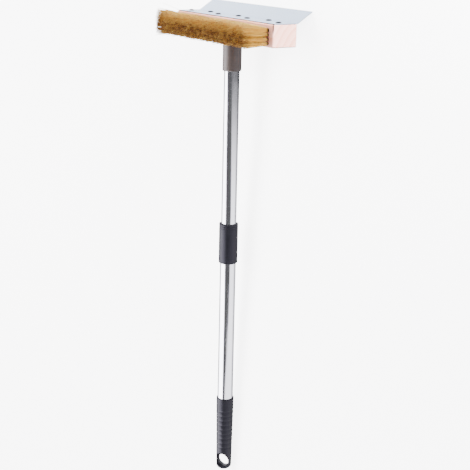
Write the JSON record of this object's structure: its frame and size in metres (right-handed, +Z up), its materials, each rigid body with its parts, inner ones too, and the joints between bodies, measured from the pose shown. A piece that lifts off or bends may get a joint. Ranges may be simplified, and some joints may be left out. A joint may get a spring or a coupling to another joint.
{
  "type": "pizza oven brush",
  "caption": "Long-handled brush with brass bristles and a bent steel scraper plate on a wood block, on a telescopic twist-lock pole with a hanging hole.",
  "frame": {"origin": "on the ground under the middle of the brush's bounding box, as it lies with its bristles up", "axes": "+Y along the pole from grip to head, +X across the head, +Z up, the way the bristles point"},
  "size_m": [0.24, 0.6658, 0.0934],
  "materials": {
    "tube_steel": "polished",
    "black_plastic": "satin",
    "grey_plastic": "satin",
    "lock_plastic": "matte",
    "plain_steel": "plain",
    "blade_steel": "satin",
    "beech": "bare sanded",
    "brass_wire": "bright wire"
  },
  "bodies": {
    "lower_pole": {"lower_tube": "tube_steel", "grip": "black_plastic", "collar": "black_plastic"},
    "lock_sleeve": {"lock_sleeve": "lock_plastic"},
    "upper_pole": {"upper_tube": "tube_steel", "lock_spindle": "lock_plastic", "spindle_clip": "plain_steel", "handle_socket": "grey_plastic", "wood_block": "beech", "bristle_row_1": "brass_wire", "bristle_row_2": "brass_wire", "bristle_row_3": "brass_wire", "bristle_row_4": "brass_wire", "tuft_staples": "plain_steel", "scraper_blade": "blade_steel", "blade_screws": "plain_steel"},
    "cone_nut": {"cone_nut": "lock_plastic"}
  },
  "joints": [
    {"name": "pole_slide", "type": "slide", "parent": "lower_pole", "child": "lock_sleeve", "axis": [0, 0.9989, 0.0461], "range_m": [-0.18, 0.02]},
    {"name": "lock_twist", "type": "hinge", "parent": "lock_sleeve", "child": "upper_pole", "pos_m": [0, -0.03213, 0.02405], "axis": [0, 0.9989, 0.0461], "range_deg": [-270, 0]},
    {"name": "nut_travel", "type": "slide", "parent": "lock_sleeve", "child": "cone_nut", "axis": [0, 0.9989, 0.0461], "range_m": [-0.00151, 0]}
  ],
  "couplings": [
    {"joint": "nut_travel", "follows": "lock_twist", "m_per_rad": 0.00031831}
  ]
}
